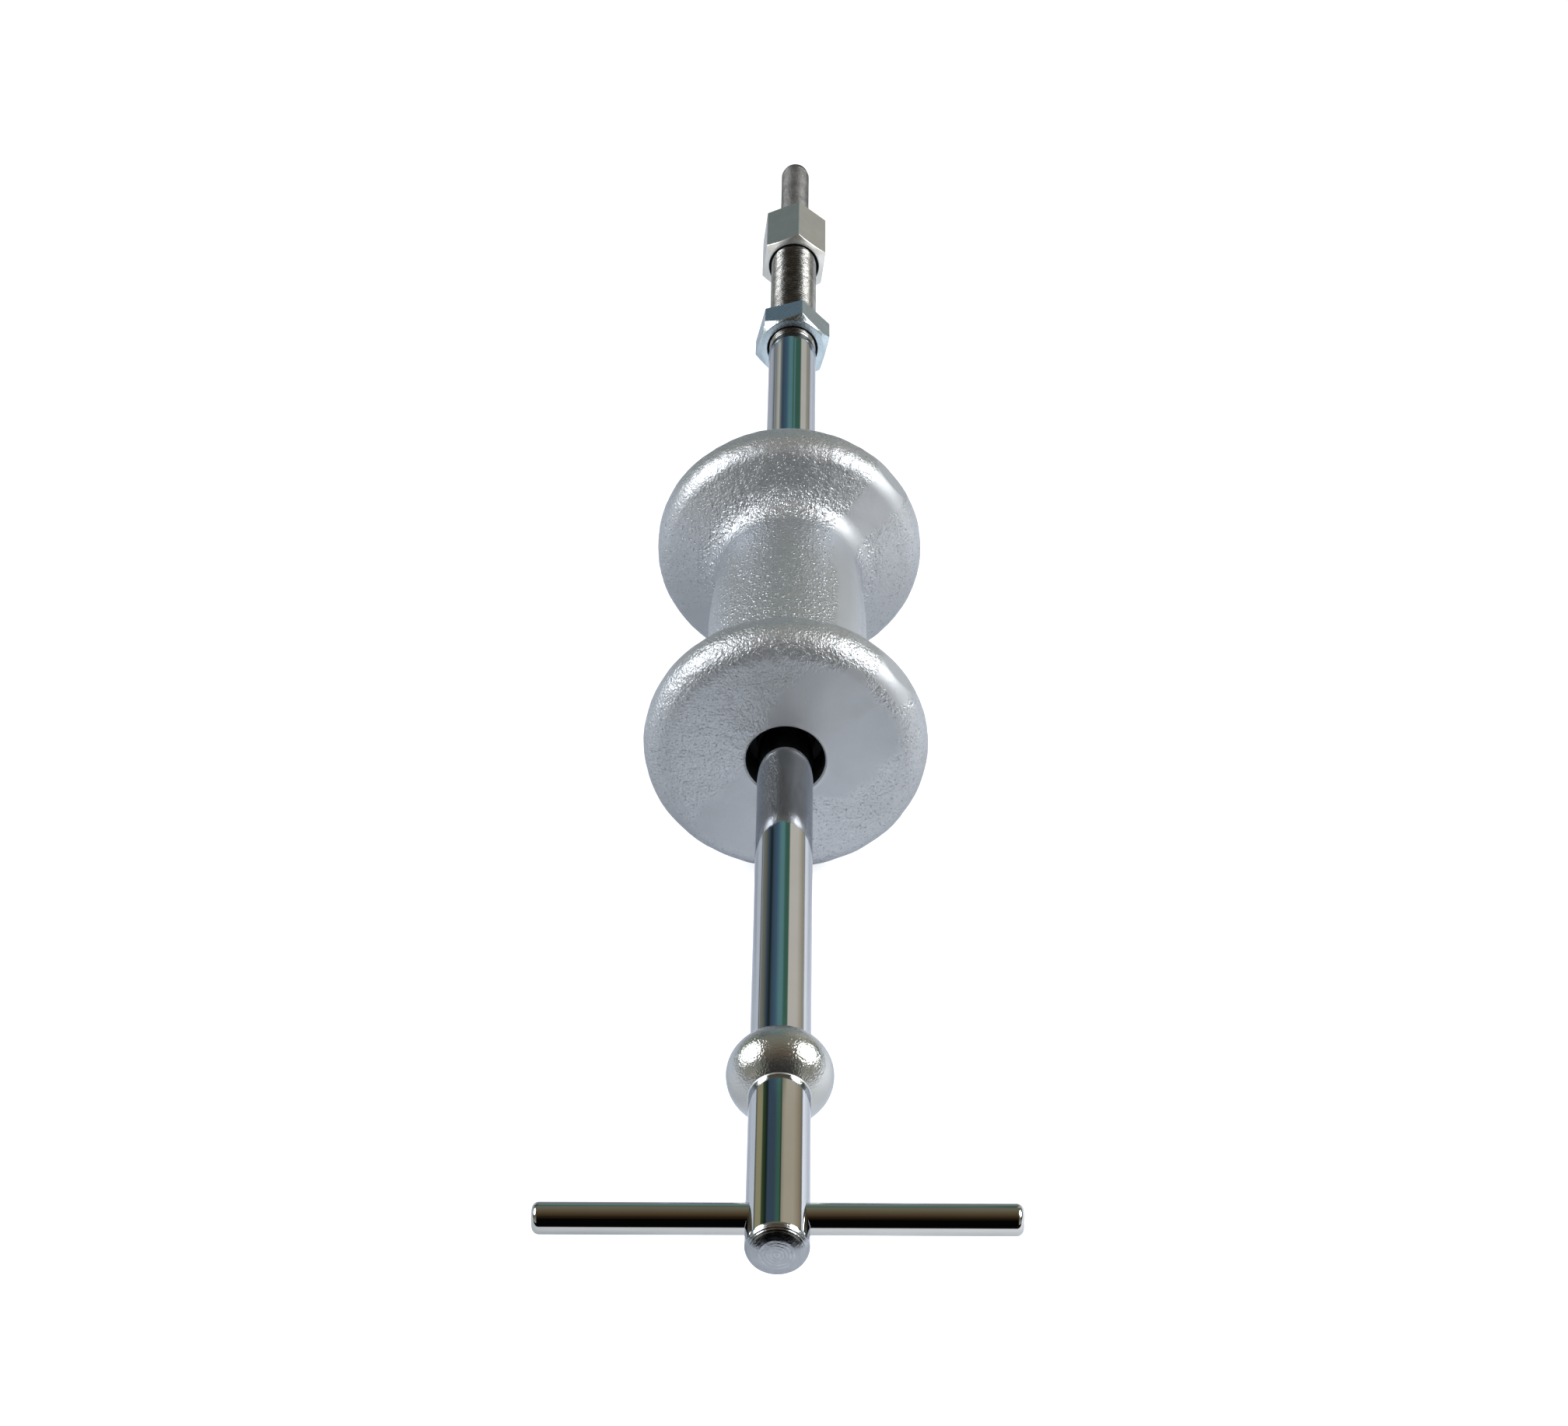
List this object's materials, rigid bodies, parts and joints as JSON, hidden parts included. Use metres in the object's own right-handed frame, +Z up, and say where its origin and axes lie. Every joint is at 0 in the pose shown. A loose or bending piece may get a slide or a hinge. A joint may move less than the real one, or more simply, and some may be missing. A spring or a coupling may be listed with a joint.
{
  "type": "slide hammer puller",
  "caption": "Slide hammer puller: spool-shaped weight on a chromed rod between a stop collar and a lock nut, with a cross handle and a hex adapter that carries a stud.",
  "frame": {"origin": "under the middle of the tool, on the ground that the weight's flanges stand on", "axes": "+Y along the rod from the cross handle to the stud, +X along the cross handle, +Z up"},
  "size_m": [0.12, 0.613, 0.0825],
  "materials": {
    "chrome_rod": "mirror",
    "chrome_collar": "hammered gloss",
    "chrome_bar": "mirror",
    "silver_casting": "silver paint on a rough casting",
    "black_bush": "matt",
    "zinc_nut": "bright zinc",
    "satin_adapter": "satin",
    "satin_stud": "satin"
  },
  "bodies": {
    "puller_rod": {"slide_rod": "chrome_rod", "stop_collar": "chrome_collar"},
    "tommy_bar": {"tommy_bar": "chrome_bar"},
    "hammer_weight": {"hammer_weight": "silver_casting", "guide_bushes": "black_bush"},
    "lock_nut": {"lock_nut": "zinc_nut"},
    "hex_adapter": {"hex_adapter": "satin_adapter", "adapter_stud": "satin_stud"}
  },
  "joints": [
    {"name": "weight_slide", "type": "slide", "parent": "puller_rod", "child": "hammer_weight", "axis": [0, 1, 0], "range_m": [-0.14, 0.126]},
    {"name": "tommy_bar_slide", "type": "slide", "parent": "puller_rod", "child": "tommy_bar", "axis": [1, 0, 0], "range_m": [-0.045, 0.045]},
    {"name": "lock_nut_turn", "type": "hinge", "parent": "puller_rod", "child": "lock_nut", "pos_m": [0, 0.173, 0.04125], "axis": [0, 1, 0], "continuous": true},
    {"name": "hex_adapter_turn", "type": "hinge", "parent": "puller_rod", "child": "hex_adapter", "pos_m": [0, 0.2445, 0.04125], "axis": [0, 1, 0], "continuous": true}
  ]
}
